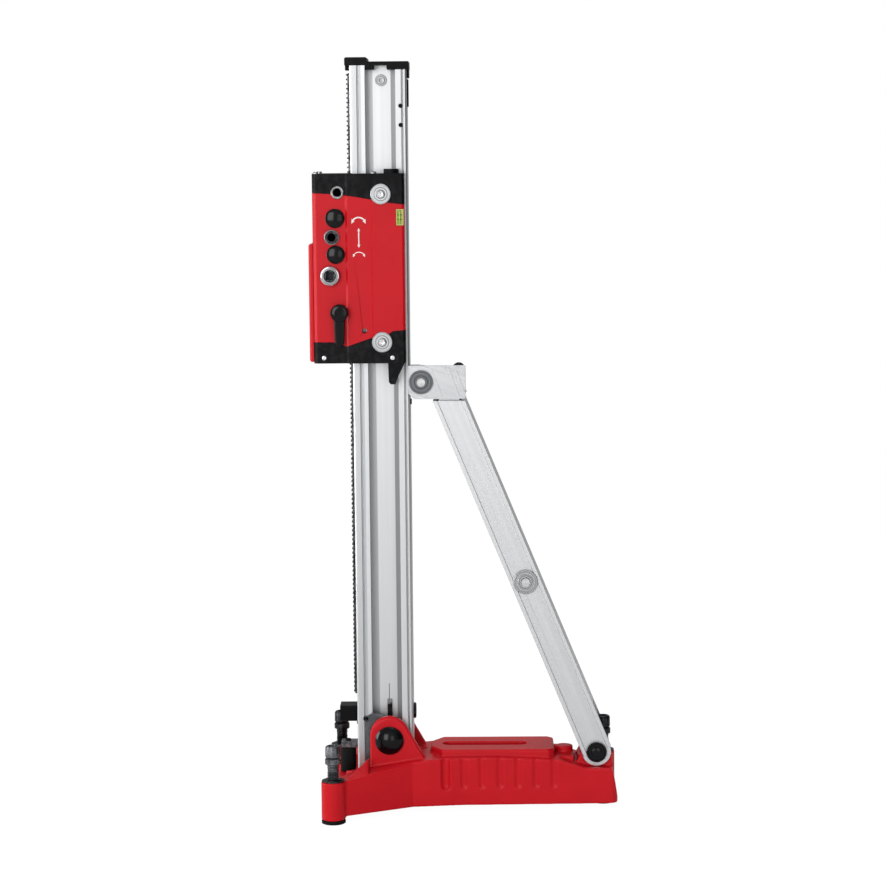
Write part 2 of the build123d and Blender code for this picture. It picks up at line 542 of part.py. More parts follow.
def build_carriage():
    whole = housing()
    save("housing_left", whole & block(-200, 200, 0.05, 100, 500, 1000))
    save("housing_right", whole & block(-200, 200, -100, -0.05, 500, 1000))
    save("upper_cap", upper_cap())
    save("lower_cap", lower_cap())
    save("front_plate", front_plate())
    axle, washer = [], []
    for z in ROLLER_HEIGHTS:
        pin = rod_y(ROLLER_X, z, 6, 15, 60) + rod_y(ROLLER_X, z, 9, 12.6, 15)
        axle.append(twin(pin))
        ring = rod_y(ROLLER_X, z, 13.9, SIDE_HALF + 0.1, SIDE_HALF + 2.6)
        washer.append(twin(ring - rod_y(ROLLER_X, z, 6.02, 50, 60)))
        for name, side in (("left", 1), ("right", -1)):
            level = "upper" if z > 700 else "lower"
            save(f"roller_{level}_{name}", roller(side, z))
    save("roller_axles", group(axle))
    save("roller_washers", group(washer))
    save("feed_pinion", feed_pinion())
    save("pinion_shaft", pinion_shaft())
    to_lay = direction(PINION_X, PINION_Z, LAY_X, LAY_Z)
    save("final_gear", gear(PINION_X, PINION_Z, GEAR_MODULE, FINAL_TEETH, to_lay, -33, -25, 9.0))
    small_phase = to_lay + 180 + 180 / SMALL_TEETH
    small = gear(LAY_X, LAY_Z, GEAR_MODULE, SMALL_TEETH, small_phase, -33, -25, 1.0)
    save("layshaft", small + rod_y(LAY_X, LAY_Z, 5, -49, -33) + rod_y(LAY_X, LAY_Z, 4, -33, -18))
    to_input = direction(LAY_X, LAY_Z, INPUT_X, INPUT_Z)
    save("large_gear", gear(LAY_X, LAY_Z, GEAR_MODULE, LARGE_TEETH, to_input, -44, -36, 5.02))
    input_phase = to_input + 180 + 180 / INPUT_TEETH
    save("input_gear", gear(INPUT_X, INPUT_Z, GEAR_MODULE, INPUT_TEETH, input_phase, -44, -36, 7.52))
    save("input_shaft", input_shaft())
    save("shaft_bushes", shaft_bushes())
    covers = []
    for x, z, r in ((-66, 822.7, 13.0), (LAY_X, LAY_Z, 12.4)):
        face_y = GEARBOX_HALF + 0.1
        cover = rod_y(x, z, r, face_y, face_y + 3) + dome(x, z, r, face_y + 3, 2.5)
        cover += rod_y(x, z, 5.9, 49, face_y)
        covers.append(mirror(cover, about=Plane.XZ))
    save("shaft_covers", group(covers))
    guide = rod_y(-62.5, 857.5, 8.9, 30, GEARBOX_HALF + 1) - rod_y(-62.5, 857.5, 5.5, 20, 60)
    save("guide_bushes", twin(guide))
    heads = []
    for x, z in ((-83, 632.7), (10.5, 632.7)):
        face_y = GEARBOX_HALF if x < -52 else SIDE_HALF
        heads.append(twin(rod_y(x, z, 3.5, face_y + 0.05, face_y + 2)))
    for x, y in ((-92, 40), (-13, 44)):
        heads.append(twin(rod_z(x, y, 4, CARRIAGE_TOP + 0.05, CARRIAGE_TOP + 3)))
    save("cover_screws", group(heads))
    level = block(17.5, CARRIAGE_BACK - 1, -SIDE_HALF + 0.5, -49.1, 812.5, 834.5)
    save("level_body", level - block(19, CARRIAGE_BACK - 2.5, -60, -51, 814, 833))
    save("level_vial", rod_z(22.2, -52.2, 1.1, 814.1, 832.9))
    save("lock_pad", block(-58, -53.2, -9, 9, LEVER_Z - 8, LEVER_Z + 8))
    build_lever()


def build_lever():
    x, z = -61.0, LEVER_Z
    hub = rod_y(x, z, 12.1, -68, -54.6)
    arm = block(x - 7, x + 8.3, -66, -57, z - 46, z)
    arm = fillet(arm.edges().filter_by(Axis.Y).group_by(Axis.Z)[0], 5)
    lever = hub + arm
    save("lock_lever", lever - rod_y(x, z, 5.0, -65, -50))
    save("lock_spindle", rod_y(x, z, 6, -54.5, -20) + rod_y(x, z, 4.95, -64.9, -54))


build_base()
build_column()
build_brace()
build_carriage()
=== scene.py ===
import math

import bmesh
import bpy
from mathutils import Matrix, Vector


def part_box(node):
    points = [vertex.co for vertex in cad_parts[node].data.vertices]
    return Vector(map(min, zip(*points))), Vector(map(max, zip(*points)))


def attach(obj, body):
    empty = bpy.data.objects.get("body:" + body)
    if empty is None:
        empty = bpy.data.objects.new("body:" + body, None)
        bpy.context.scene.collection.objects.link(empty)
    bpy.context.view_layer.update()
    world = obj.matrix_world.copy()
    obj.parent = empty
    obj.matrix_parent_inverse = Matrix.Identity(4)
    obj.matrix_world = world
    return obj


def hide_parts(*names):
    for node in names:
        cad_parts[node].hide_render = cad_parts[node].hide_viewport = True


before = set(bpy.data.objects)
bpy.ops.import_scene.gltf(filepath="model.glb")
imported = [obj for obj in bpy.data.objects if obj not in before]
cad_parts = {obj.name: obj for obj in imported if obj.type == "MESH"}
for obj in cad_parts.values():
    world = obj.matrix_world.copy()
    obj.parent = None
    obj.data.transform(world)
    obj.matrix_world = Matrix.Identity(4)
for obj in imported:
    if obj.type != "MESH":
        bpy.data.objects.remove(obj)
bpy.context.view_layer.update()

# Core drill stand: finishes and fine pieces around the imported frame. Lengths are metres, or mm times MM.
MM = 0.001
TURN = 2 * math.pi
TOWARDS_USER = Vector((0, -1, 0))
AWAY = Vector((0, 1, 0))
TOWARDS_BRACE = Vector((1, 0, 0))
UP = Vector((0, 0, 1))
THREAD_PITCH = 2.0 * MM
CREST_SPAN = (0.42, 0.58)           # stretch of each pitch that a thread's flat crest takes up
TILT_AXLE_X = -107.0
SOFT_ANGLE = math.radians(28)       # faces that meet at less than this shade as one
SAME_SPOT = 1e-6                    # corners closer than this are one corner


# Reading the frame ------------------------------------------------------------------------------------
def middle(box):
    return (box[0] + box[1]) / 2


def radius_of(box):
    """Radius in mm of something round, from its width along X."""
    return (box[1].x - box[0].x) / 2 / MM


def depth_of(box):
    """Length in mm along Y."""
    return (box[1].y - box[0].y) / MM


def facing_of(box):
    """Direction that an outer face looks in, on this piece's side of the rail."""
    return TOWARDS_USER if box[1].y < 0 else AWAY


def seat_of(box):
    """Middle of the face that sits against the stand."""
    seat = middle(box)
    seat.y = box[1].y if box[1].y < 0 else box[0].y
    return seat


def tip_of(box):
    """Middle of the face that is farthest out from the rail."""
    tip = middle(box)
    tip.y = box[0].y if box[1].y < 0 else box[1].y
    return tip


def far_end_of(box):
    """Middle of the end that is farthest from the user."""
    end = middle(box)
    end.y = box[1].y
    return end


def loose_boxes(node):
    """Box of each separate solid of a CAD node, from the user's side to the far side."""
    bm = bmesh.new()
    bm.from_mesh(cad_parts[node].data)
    bmesh.ops.remove_doubles(bm, verts=bm.verts, dist=SAME_SPOT)
    unseen = set(bm.verts)
    boxes = []
    while unseen:
        front = [unseen.pop()]
        low, high = front[0].co.copy(), front[0].co.copy()
        while front:
            vert = front.pop()
            low = Vector(map(min, low, vert.co))
            high = Vector(map(max, high, vert.co))
            for edge in vert.link_edges:
                other = edge.other_vert(vert)
                if other in unseen:
                    unseen.discard(other)
                    front.append(other)
        boxes.append((low, high))
    bm.free()
    return sorted(boxes, key=lambda box: (round(box[0].y, 4), round(box[0].z, 4), box[0].x))


# Mesh building ------------------------------------------------------------------------------------------
def ring_reach(radius, sides, angle):
    """Distance to the edge: a circle, or a polygon with this distance to its flats."""
    if not sides:
        return radius
    half = math.pi / sides
    return radius / math.cos(angle % (2 * half) - half)


def turn_on_lathe(bm, rings, origin, axis, segments=72, start_angle=0.0):
    """Closed form about an axis. Each ring is (radius, distance along the axis, sides), in mm."""
    axis = Vector(axis).normalized()
    across = Vector((1, 0, 0)) if abs(axis.x) < 0.9 else Vector((0, 1, 0))
    aside = axis.cross(across)
    loops = []
    for radius, along, sides in rings:
        centre = Vector(origin) + axis * along * MM
        if radius == 0:
            loops.append([bm.verts.new(centre)])
            continue
        loop = []
        for step in range(segments):
            angle = TURN * step / segments
            reach = ring_reach(radius, sides, angle) * MM
            angle += start_angle
            loop.append(bm.verts.new(centre + reach * (math.cos(angle) * across + math.sin(angle) * aside)))
        loops.append(loop)
    for below, above in zip(loops, loops[1:]):
        for step in range(segments):
            after = (step + 1) % segments
            if len(below) == 1:
                bm.faces.new((below[0], above[step], above[after]))
            elif len(above) == 1:
                bm.faces.new((below[step], below[after], above[0]))
            else:
                bm.faces.new((below[step], below[after], above[after], above[step]))
    for loop in (loops[0], loops[-1]):
        if len(loop) > 1:
            bm.faces.new(loop)


def cut_thread(bm, origin, core, crest, start, end, segments=36):
    """Helical ridge about +Z from start to end, both in metres above origin; radii are in mm."""
    count = int((end - start) / THREAD_PITCH * segments)
    rows = []
    for step in range(count + 1):
        angle = TURN * step / segments
        fade = min(1.0, step / segments, (count - step) / segments)
        low = start + THREAD_PITCH * step / segments
        ridge = core + (crest - core) * fade
        row = []
        for reach, rise in ((core, 0.0), (ridge, CREST_SPAN[0]), (ridge, CREST_SPAN[1]), (core, 1.0)):
            height = low + rise * THREAD_PITCH
            spot = Vector((reach * MM * math.cos(angle), reach * MM * math.sin(angle), height))
            row.append(bm.verts.new(Vector(origin) + spot))
        rows.append(row)
    for row, after in zip(rows, rows[1:]):
        for k in range(3):
            bm.faces.new((row[k], after[k], after[k + 1], row[k + 1]))
    bm.faces.new(rows[0])
    bm.faces.new(reversed(rows[-1]))


def add_plate(bm, outline, thickness, place):
    """Flat plate from an outline of (u, v) in metres, put in place by a matrix whose z is its thickness."""
    low = [bm.verts.new(place @ Vector((u, v, 0))) for u, v in outline]
    high = [bm.verts.new(place @ Vector((u, v, thickness))) for u, v in outline]
    bm.faces.new(reversed(low))
    bm.faces.new(high)
    for k in range(len(outline)):
        after = (k + 1) % len(outline)
        bm.faces.new((low[k], low[after], high[after], high[k]))


def add_box(bm, low, high, edge=0.0):
    """Block between two corners, with bevelled edges."""
    size = Vector(high) - Vector(low)
    place = Matrix.Translation((Vector(low) + Vector(high)) / 2) @ Matrix.Diagonal((*size, 1))
    made = bmesh.ops.create_cube(bm, size=1, matrix=place)
    if edge:
        edges = list({e for v in made["verts"] for e in v.link_edges})
        bmesh.ops.bevel(bm, geom=edges, offset=edge, segments=3, affect="EDGES", profile=0.5)


def facing_user(x, y, z):
    """Place for a flat plate that stands upright and faces the user."""
    return Matrix(((1, 0, 0, x), (0, 0, -1, y), (0, 1, 0, z), (0, 0, 0, 1)))


def place_piece(bm, name, body, finish, stands_for=(), even=False):
    """Turn a bmesh into a piece that rides on a body and stands for some CAD nodes."""
    bmesh.ops.recalc_face_normals(bm, faces=bm.faces)
    mesh = bpy.data.meshes.new(name)
    bm.to_mesh(mesh)
    bm.free()
    mesh.shade_smooth()
    mesh.set_sharp_from_angle(angle=SOFT_ANGLE)
    mesh.materials.append(finish)
    piece = bpy.data.objects.new(name, mesh)
    bpy.context.scene.collection.objects.link(piece)
    if even:
        weighted = piece.modifiers.new("even shading", "WEIGHTED_NORMAL")
        weighted.keep_sharp = True
    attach(piece, body)
    if stands_for:
        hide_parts(*stands_for)


def turn_piece(name, rings, seat, facing, body, finish, stands_for=(), segments=72):
    """One turned piece: profile, seat and axis, then the body it rides on and its finish."""
    bm = bmesh.new()
    turn_on_lathe(bm, rings, seat, facing, segments)
    place_piece(bm, name, body, finish, stands_for)


# Shader nodes -------------------------------------------------------------------------------------------
def add_node(tree, kind, inputs=(), **settings):
    """One shader node. Inputs are values, or other nodes' sockets to link from."""
    node = tree.nodes.new(kind)
    for key, value in settings.items():
        setattr(node, key, value)
    for key, value in dict(inputs).items():
        if isinstance(value, bpy.types.NodeSocket):
            tree.links.new(value, node.inputs[key])
        else:
            node.inputs[key].default_value = value
    return node


def new_group(name, inputs, outputs):
    tree = bpy.data.node_groups.new(name, "ShaderNodeTree")
    for label, kind, value in inputs:
        socket = tree.interface.new_socket(label, in_out="INPUT", socket_type="NodeSocket" + kind)
        socket.default_value = value
    for label, kind in outputs:
        tree.interface.new_socket(label, in_out="OUTPUT", socket_type="NodeSocket" + kind)
    return tree, tree.nodes.new("NodeGroupInput").outputs, tree.nodes.new("NodeGroupOutput")


def math_node(tree, operation, first, second=0.0):
    node = add_node(tree, "ShaderNodeMath", operation=operation)
    for socket, value in zip(node.inputs, (first, second)):
        if isinstance(value, bpy.types.NodeSocket):
            tree.links.new(value, socket)
        else:
            socket.default_value = value
    return node.outputs[0]


def ramp(tree, value, low, high):
    """Value from low to high spread smoothly over 0 to 1."""
    node = add_node(tree, "ShaderNodeMapRange", {"Value": value, "From Min": low, "From Max": high},
                    interpolation_type="SMOOTHSTEP")
    return node.outputs["Result"]


def own_spot(tree):
    return add_node(tree, "ShaderNodeTexCoord").outputs["Object"]


def scale_for(tree, size):
    """Texture scale at which one feature is this many mm across."""
    return math_node(tree, "DIVIDE", 1 / MM, size)


def noise(tree, spot, scale, detail, **inputs):
    node = add_node(tree, "ShaderNodeTexNoise", {"Vector": spot, "Scale": scale, "Detail": detail, **inputs})
    return node.outputs["Fac"]


def bump(tree, height, strength, depth):
    node = add_node(tree, "ShaderNodeBump", {"Height": height, "Strength": strength, "Distance": depth * MM})
    return node.outputs["Normal"]


def grain_group():
    """Fine bumps and broad mottling of a cast, coated or moulded skin."""
    tree, given, out = new_group(
        "skin grain",
        [("Size", "Float", 1.2), ("Height", "Float", 0.1), ("Mottle Size", "Float", 30.0)],
        [("Grain", "Float"), ("Mottle", "Float"), ("Normal", "Vector")])
    spot = own_spot(tree)
    fine = noise(tree, spot, scale_for(tree, given["Size"]), 2.0, Roughness=0.6)
    broad = noise(tree, spot, scale_for(tree, given["Mottle Size"]), 3.0)
    tree.links.new(fine, out.inputs["Grain"])
    tree.links.new(broad, out.inputs["Mottle"])
    tree.links.new(bump(tree, fine, given["Height"], 0.4), out.inputs["Normal"])
    return tree


def drawn_group():
    """Long fine lines that an extruding die or a belt leaves, along an axis leaned back by an angle."""
    tree, given, out = new_group(
        "drawn lines",
        [("Lean", "Float", 0.0), ("Width", "Float", 0.5), ("Length", "Float", 120.0),
         ("Height", "Float", 0.1)],
        [("Lines", "Float"), ("Bands", "Float"), ("Normal", "Vector")])
    upright = add_node(tree, "ShaderNodeVectorRotate",
                       {"Vector": own_spot(tree), "Axis": (0, 1, 0), "Angle": given["Lean"]},
                       rotation_type="AXIS_ANGLE")
    across = scale_for(tree, given["Width"])
    along = scale_for(tree, given["Length"])
    scale = add_node(tree, "ShaderNodeCombineXYZ", {"X": across, "Y": across, "Z": along})
    stretched = add_node(tree, "ShaderNodeVectorMath", {0: upright.outputs[0], 1: scale.outputs[0]},
                         operation="MULTIPLY").outputs[0]
    lines = noise(tree, stretched, 1.0, 3.0)
    bands = noise(tree, stretched, 0.12, 1.0)
    tree.links.new(lines, out.inputs["Lines"])
    tree.links.new(bands, out.inputs["Bands"])
    tree.links.new(bump(tree, lines, given["Height"], 0.3), out.inputs["Normal"])
    return tree


def wear_and_shade_group():
    """Masks from pointiness: edges that handling rubs bright, broken up so that it isn't an even line, which
    the coated finish uses as a painted highlight; and hollows, used as painted shade.
    """
    tree, given, out = new_group(
        "worn edges and painted shade",
        [("Amount", "Float", 0.5), ("Patch Size", "Float", 9.0)],
        [("Edge Wear And Highlight", "Float"), ("Hollow", "Float")])
    pointed = add_node(tree, "ShaderNodeNewGeometry").outputs["Pointiness"]
    patches = noise(tree, own_spot(tree), scale_for(tree, given["Patch Size"]), 4.0)
    edge = math_node(tree, "MULTIPLY", ramp(tree, pointed, 0.52, 0.60), ramp(tree, patches, 0.4, 0.62))
    tree.links.new(math_node(tree, "MULTIPLY", edge, given["Amount"]), out.inputs["Edge Wear And Highlight"])
    # painted shade mask: hollows and corners where shade falls
    tree.links.new(ramp(tree, pointed, 0.485, 0.42), out.inputs["Hollow"])
    return tree


def turned_group():
    """Concentric machining marks about a centre, on faces that look along Y."""
    tree, given, out = new_group(
        "turned marks",
        [("Centre", "Vector", (0, 0, 0)), ("Pitch", "Float", 0.35), ("Height", "Float", 0.1)],
        [("Marks", "Float"), ("Normal", "Vector")])
    offset = add_node(tree, "ShaderNodeVectorMath", {0: own_spot(tree), 1: given["Centre"]},
                      operation="SUBTRACT").outputs[0]
    flat = add_node(tree, "ShaderNodeVectorMath", {0: offset, 1: (1, 0, 1)}, operation="MULTIPLY").outputs[0]
    reach = add_node(tree, "ShaderNodeVectorMath", {0: flat}, operation="LENGTH").outputs["Value"]
    turns = math_node(tree, "MULTIPLY", reach, scale_for(tree, given["Pitch"]))
    marks = add_node(tree, "ShaderNodeTexNoise", {"W": turns, "Scale": 1.0, "Detail": 2.0},
                     noise_dimensions="1D").outputs["Fac"]
    tree.links.new(marks, out.inputs["Marks"])
    tree.links.new(bump(tree, marks, given["Height"], 0.3), out.inputs["Normal"])
    return tree


GRAIN = grain_group()
DRAWN = drawn_group()
WEAR_AND_SHADE = wear_and_shade_group()
TURNED = turned_group()


def place_group(tree, group, values):
    node = tree.nodes.new("ShaderNodeGroup")
    node.node_tree = group
    for key, value in values.items():
        node.inputs[key].default_value = value
    return node.outputs


def shade(tree, factor, low, high):
    """A colour between two, picked by a factor."""
    node = add_node(tree, "ShaderNodeMix", {"Factor": factor}, data_type="RGBA")
    for socket, colour in ((node.inputs[6], low), (node.inputs[7], high)):
        if isinstance(colour, bpy.types.NodeSocket):
            tree.links.new(colour, socket)
        else:
            socket.default_value = (*colour, 1)
    return node.outputs[2]


def span(tree, factor, low, high):
    """A number between two, picked by a factor of 0 to 1."""
    node = add_node(tree, "ShaderNodeMapRange", {"Value": factor, "To Min": low, "To Max": high})
    return node.outputs["Result"]


def new_finish(name, **settings):
    """Material with its Principled shader; settings are its inputs, with underscores for spaces."""
    material = bpy.data.materials.new(name)
    material.use_nodes = True
    shader = material.node_tree.nodes["Principled BSDF"]
    for key, value in settings.items():
        shader.inputs[key.replace("_", " ")].default_value = value
    return material, material.node_tree, shader.inputs


def coated(name, deep, bright, gloss, grain_height, wear_and_highlight=0.25, coat=0.01):
    """Powder-coated metal: fine orange peel, a little tone change, a painted highlight on its edges and
    painted shade in its hollows.
    """
    material, tree, shader = new_finish(name, Coat_Weight=coat, Coat_Roughness=0.2, Specular_IOR_Level=0.16)
    skin = place_group(tree, GRAIN, {"Size": 1.1, "Height": grain_height, "Mottle Size": 45.0})
    edge_and_hollow_masks = place_group(tree, WEAR_AND_SHADE, {"Amount": wear_and_highlight, "Patch Size": 11.0})
    tone = shade(tree, skin["Mottle"], deep, bright)
    # painted highlight: edges made a lighter red
    tone = shade(tree, edge_and_hollow_masks["Edge Wear And Highlight"], tone, [min(1.0, 1.25 * c + 0.03) for c in bright])
    # painted shade: hollows and corners made a darker red
    tone = shade(tree, edge_and_hollow_masks["Hollow"], tone, [0.45 * c for c in deep])
    tree.links.new(tone, shader["Base Color"])
    tree.links.new(span(tree, skin["Grain"], gloss - 0.06, gloss + 0.08), shader["Roughness"])
    tree.links.new(skin["Normal"], shader["Normal"])
    return material


def moulded(name, colour, gloss, grain_height=0.15, size=0.7, shine=0.08):
    """Moulded plastic or rubber with a fine eroded texture."""
    material, tree, shader = new_finish(name, Specular_IOR_Level=shine)
    skin = place_group(tree, GRAIN, {"Size": size, "Height": grain_height, "Mottle Size": 25.0})
    edge_and_hollow_masks = place_group(tree, WEAR_AND_SHADE, {"Amount": 0.5, "Patch Size": 7.0})
    tone = shade(tree, skin["Mottle"], [0.8 * c for c in colour], [1.25 * c for c in colour])
    tone = shade(tree, edge_and_hollow_masks["Edge Wear And Highlight"], tone, [min(0.9, 2.0 * c + 0.01) for c in colour])
    tree.links.new(tone, shader["Base Color"])
    tree.links.new(span(tree, skin["Grain"], gloss - 0.05, gloss + 0.1), shader["Roughness"])
    tree.links.new(skin["Normal"], shader["Normal"])
    return material


def paint_shade_bands(tree, tone, shade_stops):
    """Painted shade across the rail: darken a tone in upright bands that stand in for the reflections and
    shade of its profile; stops are (distance across the rail in mm, brightness).
    """
    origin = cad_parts["rail"].matrix_world.translation.x
    across = add_node(tree, "ShaderNodeSeparateXYZ", {"Vector": own_spot(tree)}).outputs["X"]
    first, last = ((TILT_AXLE_X + x) * MM - origin for x in (shade_stops[0][0], shade_stops[-1][0]))
    place = add_node(tree, "ShaderNodeMapRange", {"Value": across, "From Min": first, "From Max": last})
    bands = add_node(tree, "ShaderNodeValToRGB", {"Fac": place.outputs["Result"]})
    width = shade_stops[-1][0] - shade_stops[0][0]
    while len(bands.color_ramp.elements) < len(shade_stops):
        bands.color_ramp.elements.new(1.0)
    for element, (x, brightness) in zip(bands.color_ramp.elements, shade_stops):
        element.position = (x - shade_stops[0][0]) / width
        element.color = (brightness, brightness, brightness, 1)
    node = add_node(tree, "ShaderNodeMix", {"Factor": 1.0}, data_type="RGBA", blend_type="MULTIPLY")
    tree.links.new(tone, node.inputs[6])
    tree.links.new(bands.outputs["Color"], node.inputs[7])
    return node.outputs[2]


def drawn(name, dark, light, gloss, height, lean=0.0, width=0.5, length=150.0, metal=1.0, shade_stops=()):
    """Extruded or belt-finished metal with long lines along the piece, and painted shade bands across it when
    stops are given.
    """
    material, tree, shader = new_finish(name, Metallic=metal)
    lines = place_group(tree, DRAWN, {"Lean": lean, "Width": width, "Length": length, "Height": height})
    tone = shade(tree, lines["Bands"], dark, light)
    tone = shade(tree, span(tree, lines["Lines"], 0.0, 0.25), tone, [0.7 * c for c in dark])
    # painted shade: upright bands of darkening across the rail
    if shade_stops:
        tone = paint_shade_bands(tree, tone, shade_stops)
    tree.links.new(tone, shader["Base Color"])
    tree.links.new(span(tree, lines["Lines"], gloss - 0.08, gloss + 0.1), shader["Roughness"])
    tree.links.new(lines["Normal"], shader["Normal"])
    return material


def steel(name, dark, light, gloss, grain_height=0.08, wear_and_highlight=0.6):
    """Plated or blackened steel: slight mottling and edges worn bright."""
    material, tree, shader = new_finish(name, Metallic=1.0)
    skin = place_group(tree, GRAIN, {"Size": 0.9, "Height": grain_height, "Mottle Size": 9.0})
    edge_and_hollow_masks = place_group(tree, WEAR_AND_SHADE, {"Amount": wear_and_highlight, "Patch Size": 5.0})
    tone = shade(tree, skin["Mottle"], dark, light)
    tone = shade(tree, edge_and_hollow_masks["Edge Wear And Highlight"], tone, [min(0.9, 1.6 * c + 0.1) for c in light])
    tree.links.new(tone, shader["Base Color"])
    tree.links.new(span(tree, skin["Mottle"], gloss - 0.07, gloss + 0.12), shader["Roughness"])
    tree.links.new(skin["Normal"], shader["Normal"])
    return material


def machined(name, centre, dark, light, gloss):
    """Turned steel face with fine rings about its own centre."""
    material, tree, shader = new_finish(name, Metallic=1.0)
    rings = place_group(tree, TURNED, {"Centre": centre, "Pitch": 1.6, "Height": 0.3})
    tree.links.new(shade(tree, ramp(tree, rings["Marks"], 0.36, 0.64), dark, light), shader["Base Color"])
    tree.links.new(span(tree, rings["Marks"], gloss - 0.05, gloss + 0.12), shader["Roughness"])
    tree.links.new(rings["Normal"], shader["Normal"])
    return material


STRUT_LEAN = math.radians(22.35)
BRACKET_LEAN = math.radians(70)
# Painted shade across the rail, standing in for the bands of its reflections: nose, front flange and its two
# grooves, roller tracks, rear flange and groove.
RAIL_PAINTED_SHADE = [(-46, 1), (-41.5, 0.86), (-36, 0.82), (-35.2, 0.55), (-34.2, 1), (-33, 0.68), (-29.8, 0.74),
              (-29.2, 1), (-24.4, 1), (-23.9, 0.56), (-14.4, 0.64), (-13.8, 1), (10.2, 0.94), (10.8, 0.4),
              (17.2, 0.46), (17.6, 1), (25.8, 0.95), (26.4, 0.66), (28.4, 0.7), (29, 1), (33, 0.95)]
red_cast = coated("red cast paint", (0.46, 0.003, 0.009), (0.58, 0.006, 0.013), 0.36, 0.22)
red_sheet = coated("red satin paint", (0.48, 0.003, 0.009), (0.57, 0.006, 0.013), 0.36, 0.08, wear_and_highlight=0.15)
black_textured = moulded("black textured plastic", (0.003, 0.003, 0.0038), 0.4)
black_gloss = moulded("black gloss plastic", (0.0022, 0.0022, 0.003), 0.14, 0.02, 3.0, 0.2)
black_rubber = moulded("black rubber", (0.006, 0.006, 0.006), 0.6, 0.3)
roller_plastic = moulded("roller plastic", (0.012, 0.012, 0.012), 0.35, 0.05)
# the rail's finish carries the painted shade bands across its profile
rail_metal = drawn("anodised rail", (0.56, 0.575, 0.59), (0.66, 0.67, 0.68), 0.36, 0.05, metal=0.8,
                   shade_stops=RAIL_PAINTED_SHADE)
slider_metal = drawn("anodised slider", (0.5, 0.51, 0.53), (0.62, 0.63, 0.64), 0.36, 0.05, metal=0.9)
strut_metal = drawn("satin strut", (0.55, 0.56, 0.58), (0.68, 0.69, 0.70), 0.36, 0.12, lean=STRUT_LEAN,
                    width=0.7, length=60.0, metal=0.85)
bracket_metal = drawn("brushed bracket", (0.46, 0.47, 0.49), (0.68, 0.69, 0.7), 0.3, 0.3, lean=BRACKET_LEAN,
                      width=0.35, length=25.0)
zinc = steel("zinc plated steel", (0.22, 0.225, 0.23), (0.42, 0.43, 0.44), 0.3)
bright = steel("bright steel", (0.5, 0.5, 0.51), (0.75, 0.75, 0.76), 0.2)
blackened = steel("blackened steel", (0.012, 0.0125, 0.014), (0.03, 0.031, 0.034), 0.36)
dull = steel("dull zinc", (0.10, 0.103, 0.106), (0.24, 0.245, 0.25), 0.3)
gun_grey = steel("grey phosphated steel", (0.06, 0.063, 0.068), (0.13, 0.135, 0.145), 0.34)
chrome = steel("polished chrome", (0.42, 0.43, 0.44), (0.6, 0.61, 0.62), 0.12, 0.01, 0.2)
brass = steel("machined brass", (0.5, 0.34, 0.14), (0.7, 0.5, 0.22), 0.3)
vial_frame = moulded("pale level frame", (0.5, 0.5, 0.16), 0.3, 0.03)
mark_paint = moulded("white marking paint", (0.72, 0.70, 0.68), 0.45, 0.05)


def green_liquid():
    material, tree, shader = new_finish("green level liquid", Roughness=0.05, Coat_Weight=0.8, IOR=1.4)
    skin = place_group(tree, GRAIN, {"Size": 6.0, "Height": 0.0, "Mottle Size": 12.0})
    tree.links.new(shade(tree, skin["Mottle"], (0.16, 0.42, 0.01), (0.34, 0.68, 0.04)), shader["Base Color"])
    return material


vial_liquid = green_liquid()


# CAD nodes that keep their shape --------------------------------------------------------------------------
def weld_seams(piece):
    weld = piece.modifiers.new("join seams", "WELD")
    weld.merge_threshold = SAME_SPOT


def dress_node(node, finish, edge):
    """Give a CAD node its finish, and round its sharp edges with modifiers unless the edge is 0."""
    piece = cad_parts[node]
    piece.data.materials.clear()
    piece.data.materials.append(finish)
    if edge:
        weld_seams(piece)
        rounding = piece.modifiers.new("round edges", "BEVEL")
        rounding.width = edge
        rounding.segments = 2
        rounding.limit_method = "ANGLE"
        rounding.angle_limit = SOFT_ANGLE
        rounding.harden_normals = True


ROLLERS = [f"roller_{level}_{side}" for level in ("upper", "lower") for side in ("left", "right")]
NODE_FINISHES = [
    (rail_metal, 0.5, ["rail"]),
    (blackened, 0.15, ["gear_rack"]),
    (black_textured, 0.6, ["top_cap", "lower_stop"]),
    (black_textured, 0, ["upper_cap", "lower_cap"]),
    (black_textured, 0.3, ["slot_strip", "brace_stop", "strut_plug"]),
    (red_sheet, 0.8, ["housing_left", "housing_right", "front_plate"]),
    (gun_grey, 0.5, ["hinge_plates", "stop_bracket"]),
    (strut_metal, 0.5, ["strut_profile", "strut_stem"]),
    (bracket_metal, 0.5, ["bracket_plates"]),
    (slider_metal, 0.4, ["brace_slider"]),
    (black_rubber, 0.4, ["upright_buffer"]),
    (bright, 0.3, ["pivot_bolt", "foot_pins", "lock_spindle"]),
    (blackened, 0.15, ["feed_pinion", "final_gear", "layshaft", "large_gear", "input_gear"]),
    (brass, 0.3, ["lock_pad"]),
    (roller_plastic, 0.3, ROLLERS),
]
for finish, edge, nodes in NODE_FINISHES:
    for node in nodes:
        dress_node(node, finish, edge * MM)


# Base -----------------------------------------------------------------------------------------------------
def cast_foot():
    """The casting with the soft edges of a sand mould, from its own CAD shape."""
    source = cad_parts["base_casting"]
    mesh = source.data.copy()
    piece = bpy.data.objects.new("foot_casting", mesh)
    bpy.context.scene.collection.objects.link(piece)
    weld_seams(piece)
    skin = piece.modifiers.new("skin", "REMESH")
    skin.mode = "VOXEL"
    skin.voxel_size = 1.3 * MM
    soften = piece.modifiers.new("soften", "SMOOTH")
    soften.factor = 0.5
    soften.iterations = 3
    thin = piece.modifiers.new("thin out", "DECIMATE")
    thin.ratio = 0.3
    graph = bpy.context.evaluated_depsgraph_get()
    cast = bpy.data.meshes.new_from_object(piece.evaluated_get(graph))
    piece.modifiers.clear()
    piece.data = cast
    cast.materials.clear()
    cast.materials.append(red_cast)
    cast.shade_smooth()
    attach(piece, "base")
    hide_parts("base_casting")


